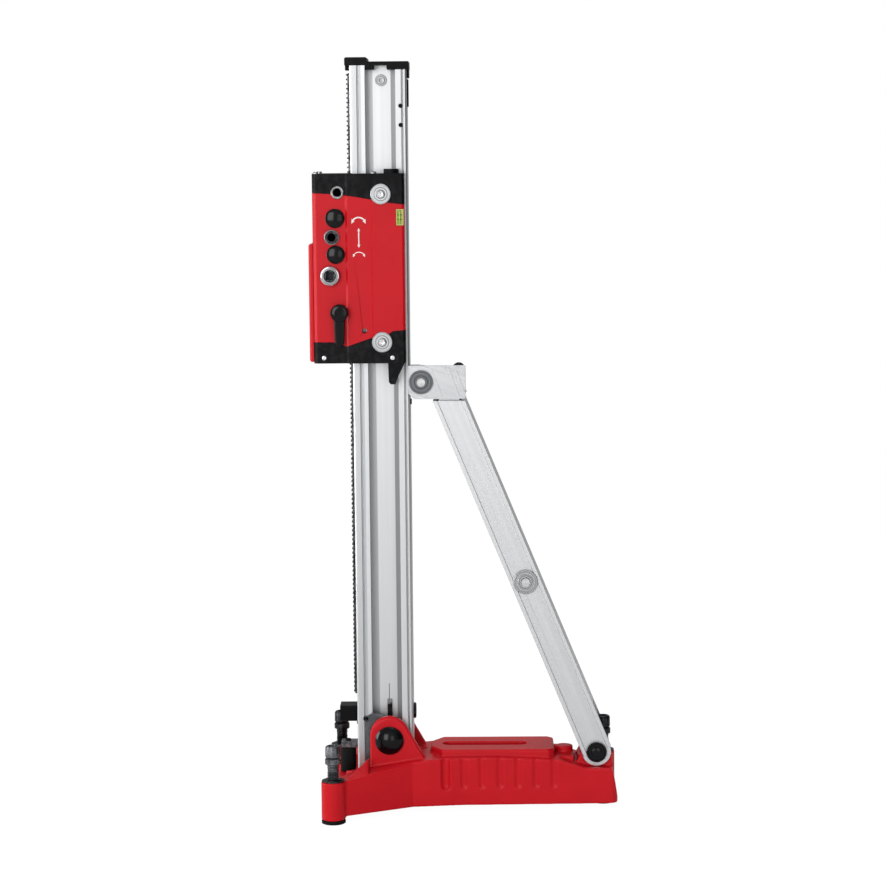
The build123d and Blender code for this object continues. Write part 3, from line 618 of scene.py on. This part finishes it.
def levelling_screw(corner):
    """Screw with two threads, a collar above the post and a fluted socket head."""
    spindle = "levelling_spindle_" + corner
    low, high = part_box(spindle)
    axis = middle((low, high)).xy.to_3d()
    top = high.z / MM
    neck = top - 35.5
    core, neck_core, collar, head, socket = 6.9, 7.5, 11.0, 10.2, 6.2
    rings = [(core, low.z / MM, 0), (core, neck, 0), (neck_core, neck, 0), (neck_core, top - 25.5, 0),
             (collar - 0.8, top - 25.5, 0), (collar, top - 24.7, 0), (collar, top - 18.4, 0),
             (collar - 0.8, top - 17.6, 0), (9.2, top - 16.8, 0), (9.6, top - 15.8, 0),
             (head, top - 15, 12), (10.0, top - 2.2, 12), (9.2, top - 0.5, 0), (8.3, top, 0),
             (6.9, top, 0), (socket, top - 0.8, 6), (socket, top - 8.5, 6), (0, top - 9, 0)]
    bm = bmesh.new()
    turn_on_lathe(bm, rings, axis, UP)
    cut_thread(bm, axis, 6.85, 8.0, low.z + 2 * MM, (neck + 0.5) * MM)
    cut_thread(bm, axis, 7.45, 7.98, (neck + 1.5) * MM, (top - 27) * MM)
    finish = gun_grey if corner == "front_right" else blackened
    place_piece(bm, "levelling_screw_" + corner, "spindle_" + corner, finish, [spindle])


def floor_pad(corner):
    """Rubber-faced pad with a groove round it, and a cup for the tip of its screw."""
    spindle_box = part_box("levelling_spindle_" + corner)
    axis = middle(spindle_box).xy.to_3d()
    pad = "foot_pad_" + corner
    pad_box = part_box(pad)
    radius = radius_of(pad_box)
    height = pad_box[1].z / MM
    cup, web = 8.05, 2.1
    rings = [(0, 0, 0), (radius - 1.5, 0, 0), (radius, 0.8, 0), (radius, 1.8, 0), (radius - 0.7, 2.1, 0),
             (radius - 0.7, 2.5, 0), (radius, 2.8, 0), (radius, height - 0.8, 0), (radius - 0.8, height, 0),
             (cup, height, 0), (cup, web, 0), (0, web, 0)]
    turn_piece("floor_pad_" + corner, rings, axis, UP, pad, black_rubber, [pad])


def lock_flanges():
    """Thin flanged ring on top of each post, all one casting colour."""
    bm = bmesh.new()
    for low, high in loose_boxes("lock_rings"):
        centre = middle((low, high)).xy.to_3d()
        start = low.z / MM
        bore = 8.06
        rings = [(bore, start, 0), (15.2, start, 0), (15.9, start + 0.6, 0), (15.7, start + 1.6, 0),
                 (14.8, start + 1.9, 0), (12.6, start + 1.9, 0), (12.2, start + 3.0, 0),
                 (11.6, start + 3.3, 0), (8.6, start + 3.3, 0), (bore, start + 2.8, 0)]
        turn_on_lathe(bm, rings + rings[:1], centre, UP)
    bmesh.ops.remove_doubles(bm, verts=bm.verts, dist=SAME_SPOT)
    place_piece(bm, "post_flanges", "base", blackened, ["lock_rings"])


def domed_rings(radius, height, rim, steps=10):
    """Profile of a dome with a rim, from the face it sits on."""
    crown = height - rim
    ball = (radius * radius + crown * crown) / (2 * crown)
    rings = [(radius - 0.4, 0, 0), (radius, 0.4, 0), (radius, rim - 0.5, 0), (radius - 0.5, rim, 0)]
    for step in range(1, steps + 1):
        reach = (radius - 0.5) * (1 - step / steps)
        rings.append((reach, rim + math.sqrt(ball * ball - reach * reach) - (ball - crown), 0))
    return rings


def base_cap(name, box, rings, node):
    side = "near" if box[1].y < 0 else "far"
    turn_piece(name + side, rings, seat_of(box), facing_of(box), "base", black_gloss, [node])


def base_caps():
    """Domed covers over the tilt axle, and dished ones over the brace's foot pins."""
    for box in loose_boxes("pivot_caps"):
        base_cap("pivot_cover_", box, domed_rings(radius_of(box), depth_of(box), 3.2), "pivot_caps")
    for box in loose_boxes("foot_caps"):
        radius = radius_of(box)
        rings = [(radius - 0.4, 0, 0), (radius, 0.4, 0), (radius, 3.0, 0), (radius - 0.6, 3.6, 0),
                 (11.6, 3.7, 0), (11.0, 3.0, 0), (7.4, 3.0, 0), (6.8, 4.4, 0), (4.5, 5.1, 0), (0, 5.4, 0)]
        base_cap("foot_cover_", box, rings, "foot_caps")


def rack_edging():
    """Blackened strip on each side of the rack, standing a little proud of the rail's nose."""
    low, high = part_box("gear_rack")
    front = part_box("rail")[0].x
    inner, outer, proud, edge = 12.6 * MM, 22.5 * MM, 3.1 * MM, 0.4 * MM
    bm = bmesh.new()
    for side in (-1, 1):
        near, far = sorted((side * inner, side * outer))
        add_box(bm, (front - proud, near, low.z + MM), (front, far, high.z - 8 * MM), edge)
    place_piece(bm, "rack_edging", "column", blackened)


cast_foot()
rack_edging()
for corner in ("front_right", "front_left", "rear"):
    levelling_screw(corner)
    floor_pad(corner)
lock_flanges()
base_caps()


# Screws, washers and bushes -------------------------------------------------------------------------------
def washer_rings(outer, inner, thick):
    """Washer with a rolled rim, a shallow groove and a raised inner land."""
    land = inner + (outer - inner) * 0.38
    return [(inner, 0, 0), (outer - 0.4, 0, 0), (outer, 0.4, 0), (outer, thick - 0.5, 0),
            (outer - 0.5, thick, 0), (outer - 1.6, thick, 0), (outer - 2.0, thick - 0.5, 0),
            (land + 0.6, thick - 0.5, 0), (land, thick, 0), (inner + 0.3, thick, 0),
            (inner, thick - 0.3, 0), (inner, 0, 0)]


def roller_fixings():
    """Washer over each roller, and the axle that ends in it with a hexagon socket."""
    rings = washer_rings(13.9, 6.05, 2.5)
    for number, box in enumerate(loose_boxes("roller_washers")):
        face = machined(f"washer face {number}", middle(box), (0.22, 0.225, 0.23), (0.52, 0.53, 0.54), 0.32)
        turn_piece(f"roller_washer_{number}", rings, seat_of(box), facing_of(box), "carriage", face,
                   ["roller_washers"])
    for number, box in enumerate(loose_boxes("roller_axles")):
        depth = depth_of(box)
        rings = [(0, -depth, 0), (8.5, -depth, 0), (9.0, -depth + 0.5, 0), (9.0, -depth + 2.4, 0),
                 (5.98, -depth + 2.4, 0), (5.98, -3.0, 0), (5.3, -1.6, 0), (5.0, -0.6, 0), (4.2, 0, 0),
                 (2.9, 0, 0), (2.5, -0.4, 6), (2.5, -3.2, 6), (0, -3.6, 0)]
        turn_piece(f"roller_axle_{number}", rings, tip_of(box), facing_of(box), "carriage", bright,
                   ["roller_axles"])


def brace_fixings():
    """Washers and socket screws at the joints of the brace; the upper pair is darker."""
    halfway_up = 450 * MM
    head = 4
    for number, box in enumerate(loose_boxes("brace_washers")):
        tones = ((0.2, 0.205, 0.21), (0.5, 0.51, 0.52))
        if middle(box).z > halfway_up:
            tones = ((0.05, 0.053, 0.056), (0.2, 0.21, 0.22))
        face = machined(f"brace washer face {number}", middle(box), *tones, 0.3)
        turn_piece(f"brace_washer_{number}", washer_rings(radius_of(box), 6.3, 2.8), seat_of(box),
                   facing_of(box), "brace", face, ["brace_washers"])
    for number, box in enumerate(loose_boxes("brace_bolts")):
        facing = facing_of(box)
        seat = seat_of(box) + facing * (box[1].y - box[0].y - head * MM)
        tail = head - depth_of(box)
        rings = [(0, tail, 0), (5.9, tail, 0), (5.9, 0, 0), (7.2, 0, 0), (7.4, 0.4, 0), (7.4, 3.2, 0),
                 (6.7, head, 0), (5.2, head, 0), (4.4, 3.4, 6), (4.4, 0.6, 6), (0, 0.2, 0)]
        turn_piece(f"brace_screw_{number}", rings, seat, facing, "brace", bright,
                   ["brace_bolts"])


def cap_screws():
    """Screws with a washer that hold the top cap, and the screw of the travel stop."""
    rings = [(0, 0, 0), (7.6, 0, 0), (8.0, 0.4, 0), (8.0, 1.5, 0), (7.6, 1.9, 0), (5.0, 1.9, 0),
             (5.0, 4.4, 0), (4.5, 4.9, 0), (3.1, 4.9, 0), (2.5, 4.4, 6), (2.5, 2.4, 6), (0, 2.2, 0)]
    for number, box in enumerate(loose_boxes("cap_bolts")):
        turn_piece(f"cap_screw_{number}", rings, seat_of(box), facing_of(box), "column", zinc,
                   ["cap_bolts"])
    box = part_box("stop_bolt")
    seat = middle(box)
    seat.x = box[0].x
    rings = [(0, 0, 0), (10.4, 0, 0), (11.0, 0.6, 0), (11.0, 2.8, 0), (9.8, 3.8, 0), (6.2, 3.9, 0),
             (5.2, 3.2, 6), (5.2, 1.0, 6), (0, 0.8, 0)]
    turn_piece("stop_screw", rings, seat, TOWARDS_BRACE, "column", blackened, ["stop_bolt"])


def cover_screws():
    """Button screws of the carriage's covers; those on its top are larger and look up."""
    for number, box in enumerate(loose_boxes("cover_screws")):
        upright = box[1].z - box[0].z < 4 * MM and box[1].x - box[0].x > 7.5 * MM
        radius, height, facing, finish = 3.5, 1.9, facing_of(box), bright
        seat = seat_of(box)
        if upright:
            radius, height, facing, finish = 4.0, 2.9, UP, zinc
            seat = middle(box)
            seat.z = box[0].z
        rings = [(0, 0, 0), (radius, 0, 0), (radius, height * 0.35, 0), (radius * 0.86, height * 0.75, 0),
                 (radius * 0.6, height, 0), (radius * 0.42, height, 0), (radius * 0.36, height * 0.9, 6),
                 (radius * 0.36, height * 0.35, 6), (0, height * 0.3, 0)]
        turn_piece(f"cover_screw_{number}", rings, seat, facing, "carriage", finish,
                   ["cover_screws"], segments=48)


def bushes():
    """Flanged bushes of the guide holes and of the shafts."""
    outer, bore = 8.9, 5.5
    for number, box in enumerate(loose_boxes("guide_bushes")):
        depth = depth_of(box)
        rings = [(bore, 0, 0), (outer, 0, 0), (outer, depth - 0.7, 0), (outer - 0.6, depth, 0),
                 (6.4, depth, 0), (bore, depth - 0.9, 0), (bore, 0, 0)]
        turn_piece(f"guide_bush_{number}", rings, seat_of(box), facing_of(box), "carriage", dull,
                   ["guide_bushes"])
    bore = 7.56
    for number, box in enumerate(loose_boxes("shaft_bushes")):
        depth = depth_of(box)
        radius = radius_of(box)
        neck = min(radius, 8.9 if radius < 12 else 10.9)
        flange = depth - 3.4 if radius > 9 else depth
        rings = [(bore, 0, 0), (neck, 0, 0), (neck, flange, 0), (radius, flange, 0), (radius, depth - 0.6, 0),
                 (radius - 0.6, depth, 0), (bore + 0.5, depth, 0), (bore, depth - 0.5, 0), (bore, 0, 0)]
        turn_piece(f"shaft_bush_{number}", rings, seat_of(box), facing_of(box), "carriage", dull,
                   ["shaft_bushes"])


def drive_socket():
    """Chromed rim of the hand wheel's socket, with its square inside made dark as painted shade of the
    recess.
    """
    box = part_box("input_shaft")
    seat = far_end_of(box)
    depth = depth_of(box)
    bm = bmesh.new()
    rings = [(8.0, depth - 14, 0), (12.4, depth - 3.5, 0), (13.0, depth - 3.0, 0), (13.0, depth - 1.4, 0),
             (12.2, depth - 0.4, 0), (11.4, depth - 0.2, 0), (10.9, depth - 1.0, 0), (10.2, depth - 1.0, 0),
             (9.7, depth, 0), (8.6, depth, 0), (8.0, depth - 0.7, 0), (8.0, depth - 14, 0)]
    turn_on_lathe(bm, rings, seat, TOWARDS_USER)
    bmesh.ops.remove_doubles(bm, verts=bm.verts, dist=SAME_SPOT)
    place_piece(bm, "drive_socket_rim", "drive_shaft", chrome, ["input_shaft"])
    # painted shade: the recess inside the chromed socket gets a separate blackened square
    bm = bmesh.new()
    rings = [(0, 0, 0), (7.45, 0, 0), (7.45, depth - 15, 0), (7.9, depth - 14, 0), (7.9, depth - 2.2, 0),
             (7.4, depth - 1.7, 0), (5.3, depth - 1.9, 4), (5.3, depth - 13, 4), (0, depth - 13, 0)]
    turn_on_lathe(bm, rings, seat, TOWARDS_USER, start_angle=TURN / 9)
    place_piece(bm, "drive_socket_shaded_square", "drive_shaft", blackened)


def pinion_shaft():
    """Blackened shaft along Y with a deep centre hole in its near end."""
    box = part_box("pinion_shaft")
    depth = depth_of(box)
    radius = (box[1].z - box[0].z) / 2 / MM
    bore = 5.4
    rings = [(0, 0, 0), (radius, 0, 0), (radius, depth - 0.4, 0), (radius - 0.4, depth, 0),
             (bore + 0.5, depth, 0), (bore, depth - 0.5, 0), (bore, depth - 14, 0), (0, depth - 15, 0)]
    turn_piece("pinion_shaft_turned", rings, far_end_of(box), TOWARDS_USER, "feed_shaft", blackened,
               ["pinion_shaft"])


def shaft_covers():
    """Domed covers with a stem, over the ends of the gear shafts."""
    stem_radius = 5.85
    for number, box in enumerate(loose_boxes("shaft_covers")):
        stem = depth_of(box) - 5.5
        seat = seat_of(box) + TOWARDS_USER * stem * MM
        rings = [(0, -stem, 0), (stem_radius, -stem, 0), (stem_radius, 0, 0)]
        rings += domed_rings(radius_of(box), 5.4, 3.0)
        turn_piece(f"shaft_cover_{number}", rings, seat, TOWARDS_USER, "carriage", black_gloss,
                   ["shaft_covers"])


roller_fixings()
brace_fixings()
cap_screws()
cover_screws()
bushes()
pinion_shaft()
drive_socket()
shaft_covers()


# Lever, level, pointer and marks ----------------------------------------------------------------------------
def lock_lever():
    """Clamping lever: a turned hub, and a flat tapering arm that hangs from it."""
    low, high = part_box("lock_lever")
    reach = (high.x - low.x) / 2
    hub = Vector((middle((low, high)).x, high.y, high.z - reach))
    depth = (high.y - low.y) / MM
    radius = reach / MM
    bm = bmesh.new()
    rings = [(5.05, 0, 0), (radius - 0.5, 0, 0), (radius, 0.5, 0), (radius, depth - 2.6, 0),
             (radius - 0.8, depth - 1.2, 0), (radius - 2.6, depth - 0.3, 0), (6.4, depth, 0),
             (6.0, depth - 0.5, 0), (0, depth - 0.7, 0)]
    turn_on_lathe(bm, rings, hub, TOWARDS_USER)
    root, tip, thick, stand_off = 8.0 * MM, 6.6 * MM, 8.6 * MM, 2.6 * MM
    tip_height = low.z + tip - hub.z
    arm = [(-root, 0), (-tip, tip_height)]
    for degrees in range(-75, 90, 15):
        angle = math.radians(degrees)
        arm.append((tip * math.sin(angle), tip_height - tip * math.cos(angle)))
    arm += [(tip, tip_height), (root, 0)]
    arm_bm = bmesh.new()
    add_plate(arm_bm, arm, thick, facing_user(hub.x, high.y - stand_off, hub.z))
    bmesh.ops.recalc_face_normals(arm_bm, faces=arm_bm.faces)
    sharp = [e for e in arm_bm.edges if e.calc_face_angle(0) > 1.0]
    bmesh.ops.bevel(arm_bm, geom=sharp, offset=2.0 * MM, segments=4, affect="EDGES", profile=0.5)
    scratch = bpy.data.meshes.new("lever arm")
    arm_bm.to_mesh(scratch)
    arm_bm.free()
    bm.from_mesh(scratch)
    place_piece(bm, "clamp_lever", "lock_lever", black_gloss, ["lock_lever"], even=True)


def spirit_level():
    """Level on the carriage: pale frame, liquid tube and the two lines its bubble sits between."""
    low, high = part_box("level_body")
    dress_node("level_body", vial_frame, 0.4 * MM)
    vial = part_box("level_vial")
    centre = middle(vial)
    radius = radius_of(vial)
    length = (vial[1].z - vial[0].z) / MM
    foot = Vector((centre.x, centre.y, vial[0].z))
    rings = [(0, 0, 0), (radius * 0.8, 0, 0), (radius, 0.6, 0), (radius, length - 0.6, 0),
             (radius * 0.8, length, 0), (0, length, 0)]
    turn_piece("level_tube", rings, foot, UP, "carriage", vial_liquid, ["level_vial"],
               segments=32)
    inset, half_line = 1.8 * MM, 0.4 * MM
    bm = bmesh.new()
    for way in (-3.2, 3.2):
        z = centre.z + way * MM
        add_box(bm, (low.x + inset, low.y + 0.35 * MM, z - half_line),
                (high.x - inset, low.y + 0.6 * MM, z + half_line))
    place_piece(bm, "level_lines", "carriage", black_textured)


def pointer_and_line():
    """Angle pointer in each side channel, with its grey tip and the thin index line above it."""
    for number, (low, high) in enumerate(loose_boxes("tilt_pointer")):
        split = high.z - 7 * MM
        bm = bmesh.new()
        add_box(bm, low, (high.x, high.y, split), 0.3 * MM)
        place_piece(bm, f"pointer_{number}", "column", black_textured, ["tilt_pointer"])
        bm = bmesh.new()
        add_box(bm, (low.x, low.y, split), high, 0.3 * MM)
        place_piece(bm, f"pointer_tip_{number}", "column", gun_grey)
        near = high.y < 0
        floor = high.y if near else low.y
        skin = 0.15 * MM
        bm = bmesh.new()
        x = low.x + 2.2 * MM
        sides = (floor - skin, floor) if near else (floor, floor + skin)
        width, length = 0.8 * MM, 22 * MM
        add_box(bm, (x, sides[0], high.z), (x + width, sides[1], high.z + length))
        place_piece(bm, f"index_line_{number}", "column", black_textured)


def flange_plugs():
    """Set screws in the fixing holes of the rail's rear flange, and the strut stop pin below the bracket."""
    low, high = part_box("rail")
    bm = bmesh.new()
    for x, z, radius in ((-82.7, 974, 2.9), (-82.7, 948, 2.9), (-84.2, 570.5, 2.6)):
        for facing, side in ((TOWARDS_USER, low.y), (AWAY, high.y)):
            rings = [(0, -2.0, 0), (radius, -2.0, 0), (radius, -0.3, 0), (radius * 0.5, -0.3, 0),
                     (radius * 0.42, -0.5, 6), (radius * 0.42, -1.4, 6), (0, -1.5, 0)]
            turn_on_lathe(bm, rings, Vector((x * MM, side, z * MM)), facing, 36)
    place_piece(bm, "flange_plugs", "column", black_textured)


BARB_LENGTH = 1.1                   # an arrowhead's length over its width


def arc_points(radius, start, end, steps=20):
    angles = [start + (end - start) * k / steps for k in range(steps + 1)]
    return [(radius * math.sin(angle), radius * math.cos(angle)) for angle in angles]


def arc_arrow(radius, half_angle, width, head):
    """Outline of a curved band with an arrowhead at each end, about the arc's centre."""
    outer = arc_points(radius + width / 2, -half_angle, half_angle)
    inner = arc_points(radius - width / 2, half_angle, -half_angle)

    def barb(angle, way):
        back = radius + head / 2
        front = radius - head / 2
        tip = angle + way * head * BARB_LENGTH / radius
        points = [(back, angle), (radius, tip), (front, angle)]
        return [(r * math.sin(a), r * math.cos(a)) for r, a in points]

    return outer + barb(half_angle, 1) + inner + list(reversed(barb(-half_angle, -1)))


def straight_arrow(half_length, width, head):
    """Outline of an upright bar with an arrowhead at each end, about its middle."""
    shaft = half_length - head * BARB_LENGTH
    return [(width / 2, -shaft), (width / 2, shaft), (head / 2, shaft), (0, half_length),
            (-head / 2, shaft), (-width / 2, shaft), (-width / 2, -shaft), (-head / 2, -shaft),
            (0, -half_length), (head / 2, -shaft)]


def direction_marks():
    """Painted arrows beside the two gear positions, and the travel arrow between them."""
    low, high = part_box("housing_right")
    covers = [middle(box) for box in loose_boxes("shaft_covers")]
    upper = max(c.z for c in covers)
    lower = min(c.z for c in covers)
    x = middle((low, high)).x + 0.6 * MM
    face = low.y + 1.0 * MM
    paint = 0.08 * MM
    marks = [
        (arc_arrow(9.8 * MM, math.radians(50), 1.9 * MM, 5.0 * MM), upper - 8.8 * MM),
        (straight_arrow(13.4 * MM, 1.5 * MM, 3.8 * MM), middle((low, high)).z + 43.6 * MM),
        (arc_arrow(8.4 * MM, math.radians(52), 1.1 * MM, 3.6 * MM), lower - 5.2 * MM),
    ]
    bm = bmesh.new()
    for outline, z in marks:
        add_plate(bm, outline, paint, facing_user(x, face + 0.01 * MM, z))
    place_piece(bm, "direction_marks", "carriage", mark_paint)


lock_lever()
spirit_level()
pointer_and_line()
flange_plugs()
direction_marks()


# Camera, light and floor ----------------------------------------------------------------------------------
def add_camera():
    """Long lens, a little above the middle of the stand and turned a hair to its right."""
    distance = 3.7
    azimuth, elevation, roll = math.radians(1.02), math.radians(6.30), math.radians(-0.54)
    back = Vector((math.sin(azimuth) * math.cos(elevation), -math.cos(azimuth) * math.cos(elevation),
                   math.sin(elevation)))
    level = Vector((math.cos(azimuth), math.sin(azimuth), 0))
    upright = back.cross(level)
    right = math.cos(roll) * level + math.sin(roll) * upright
    top = math.cos(roll) * upright - math.sin(roll) * level
    aim = Vector((-0.02976, 0, 0.50914))
    place = Matrix((right, top, back)).transposed().to_4x4()
    place.translation = aim + distance * back
    lens = bpy.data.cameras.new("camera")
    lens.lens = 108.24
    lens.sensor_width = 36
    lens.clip_end = 60
    camera = bpy.data.objects.new("camera", lens)
    camera.matrix_world = place
    bpy.context.scene.collection.objects.link(camera)
    bpy.context.scene.camera = camera


def add_softbox(name, spot, aim, size, power):
    lamp = bpy.data.lights.new(name, "AREA")
    lamp.shape = "RECTANGLE"
    lamp.size, lamp.size_y = size
    lamp.energy = power
    box = bpy.data.objects.new(name, lamp)
    box.location = spot
    box.rotation_euler = (Vector(aim) - Vector(spot)).to_track_quat("-Z", "Y").to_euler()
    bpy.context.scene.collection.objects.link(box)


def add_surroundings():
    """White to look at, and a softly graded room for the metal to mirror."""
    world = bpy.data.worlds.new("studio")
    world.use_nodes = True
    tree = world.node_tree
    tree.nodes.clear()
    direction = add_node(tree, "ShaderNodeTexCoord").outputs["Generated"]
    heading = add_node(tree, "ShaderNodeSeparateXYZ", {"Vector": direction}).outputs
    front = span(tree, ramp(tree, heading["Y"], -0.45, -0.95), 0.05, 0.85)
    left = span(tree, ramp(tree, heading["X"], -0.3, -0.95), 0.0, 0.3)
    behind = span(tree, ramp(tree, heading["Y"], 0.2, 0.9), 0.0, 0.5)
    above = span(tree, ramp(tree, heading["Z"], 0.25, 0.9), 0.0, 0.45)
    sides = math_node(tree, "ADD", math_node(tree, "ADD", front, left), behind)
    glow = math_node(tree, "ADD", sides, above)
    room = add_node(tree, "ShaderNodeBackground", {"Strength": glow})
    white = add_node(tree, "ShaderNodeBackground", {"Color": (1, 1, 1, 1), "Strength": 1.0})
    seen = add_node(tree, "ShaderNodeLightPath").outputs["Is Camera Ray"]
    mixed = add_node(tree, "ShaderNodeMixShader", {0: seen, 1: room.outputs[0], 2: white.outputs[0]})
    add_node(tree, "ShaderNodeOutputWorld", {"Surface": mixed.outputs[0]})
    bpy.context.scene.world = world


def add_floor():
    bm = bmesh.new()
    bmesh.ops.create_circle(bm, cap_ends=True, radius=2.6, segments=96)
    mesh = bpy.data.meshes.new("studio floor")
    bm.to_mesh(mesh)
    bm.free()
    material, tree, shader = new_finish("pale floor", Roughness=0.9, Specular_IOR_Level=0.0)
    skin = place_group(tree, GRAIN, {"Size": 4.0, "Height": 0.0, "Mottle Size": 400.0})
    tree.links.new(shade(tree, skin["Mottle"], (0.74, 0.74, 0.74), (0.78, 0.78, 0.78)), shader["Base Color"])
    paper = add_node(tree, "ShaderNodeEmission", {"Color": (1, 1, 1, 1), "Strength": 1.08})
    seen = add_node(tree, "ShaderNodeLightPath").outputs["Is Camera Ray"]
    cover = math_node(tree, "MULTIPLY", seen, 0.9)
    surface = tree.nodes["Principled BSDF"].outputs[0]
    mixed = add_node(tree, "ShaderNodeMixShader", {0: cover, 1: surface, 2: paper.outputs[0]})
    tree.links.new(mixed.outputs[0], tree.nodes["Material Output"].inputs["Surface"])
    mesh.materials.append(material)
    floor = bpy.data.objects.new("studio_floor", mesh)
    bpy.context.scene.collection.objects.link(floor)


add_camera()
add_softbox("key", (-1.5, -3.4, 1.3), (0, 0, 0.4), (1.6, 2.2), 62)
add_softbox("front", (1.1, -3.9, 0.9), (0, 0, 0.5), (1.2, 2.0), 14)
add_softbox("left strip", (-2.9, -0.2, 0.7), (0, 0, 0.5), (0.5, 2.2), 40)
add_softbox("overhead", (0.1, 0.5, 3.4), (0, 0, 0.4), (2.4, 2.0), 42)
add_surroundings()
add_floor()
bpy.context.scene.view_settings.view_transform = "Standard"
